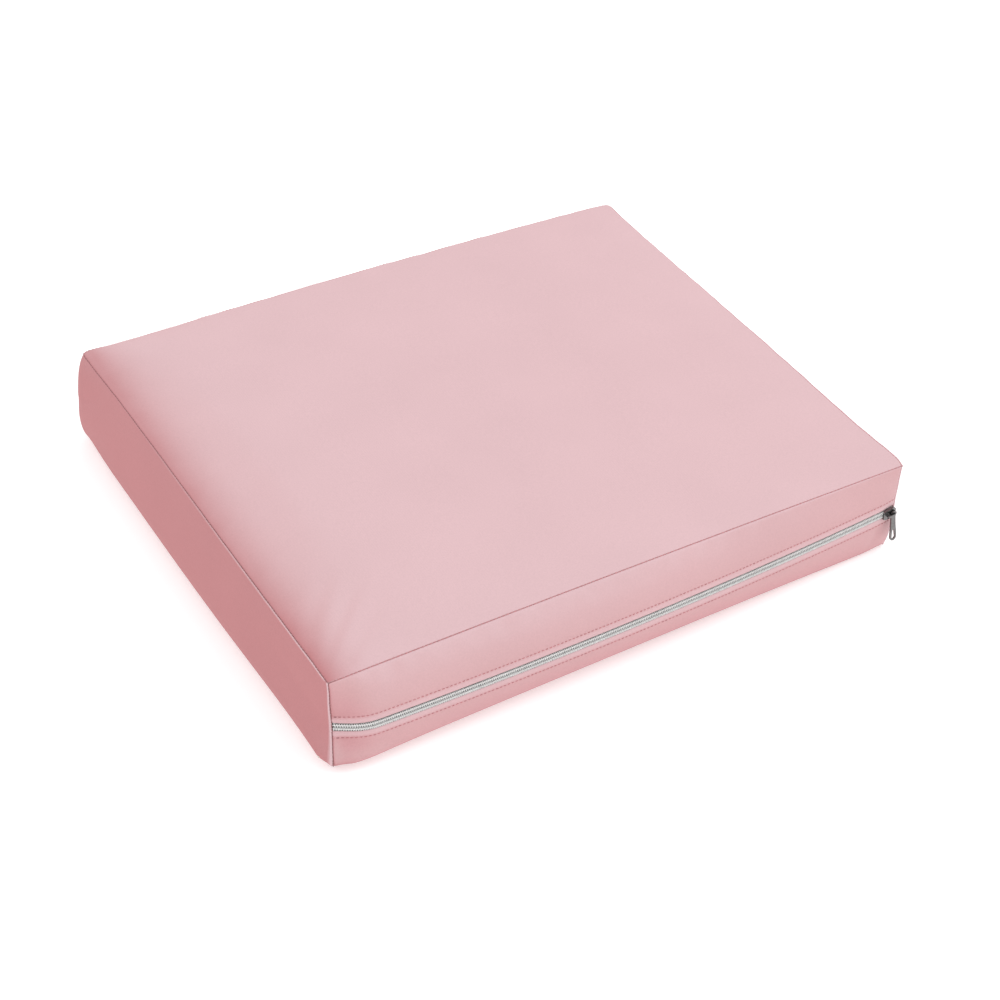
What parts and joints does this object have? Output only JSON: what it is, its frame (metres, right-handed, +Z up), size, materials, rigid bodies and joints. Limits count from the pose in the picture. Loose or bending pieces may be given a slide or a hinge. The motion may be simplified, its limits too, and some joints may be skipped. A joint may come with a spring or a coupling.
{
  "type": "zipped foam mat",
  "caption": "Low rectangular foam mat in a sewn fabric cover with bulging walls, closed along its front face by a coil zipper with a hanging pull tab",
  "frame": {"origin": "middle of the flat underside, on the surface that the mat rests on", "axes": "+X runs along the zipped front face to the right, +Y from the front face to the back, +Z up"},
  "size_m": [0.477, 0.4308, 0.076],
  "materials": {
    "cover_fabric": "matte",
    "foam": "matte",
    "sewing_thread": "satin",
    "zipper_tape": "matte",
    "coil_nylon": "satin",
    "nickel": "polished"
  },
  "bodies": {
    "cover": {"foam_core": "foam", "top_panel": "cover_fabric", "bottom_panel": "cover_fabric", "wall_band": "cover_fabric", "front_upper_strip": "cover_fabric", "front_lower_strip": "cover_fabric", "top_seam_thread": "sewing_thread", "bottom_seam_thread": "sewing_thread", "left_corner_seam_thread": "sewing_thread", "right_corner_seam_thread": "sewing_thread", "upper_topstitch_thread": "sewing_thread", "lower_topstitch_thread": "sewing_thread", "zipper_tape_upper": "zipper_tape", "zipper_tape_lower": "zipper_tape", "zipper_coil_upper": "coil_nylon", "zipper_coil_lower": "coil_nylon", "zipper_cord_upper": "coil_nylon", "zipper_cord_lower": "coil_nylon"},
    "slider": {"slider_body": "nickel"},
    "pull": {"pull_tab": "nickel"}
  },
  "joints": [
    {"name": "slider_travel", "type": "hinge", "parent": "cover", "child": "slider", "pos_m": [-0.09, 3.7845, 0.037], "axis": [0, 0, -1], "range_deg": [0, 6.04], "deforming": ["zipper_coil_upper", "zipper_coil_lower"]},
    {"name": "pull_swing", "type": "hinge", "parent": "slider", "child": "pull", "pos_m": [0.22395, -0.20778, 0.037], "axis": [0.0778, -0.997, 0], "range_deg": [-40, 220]}
  ]
}
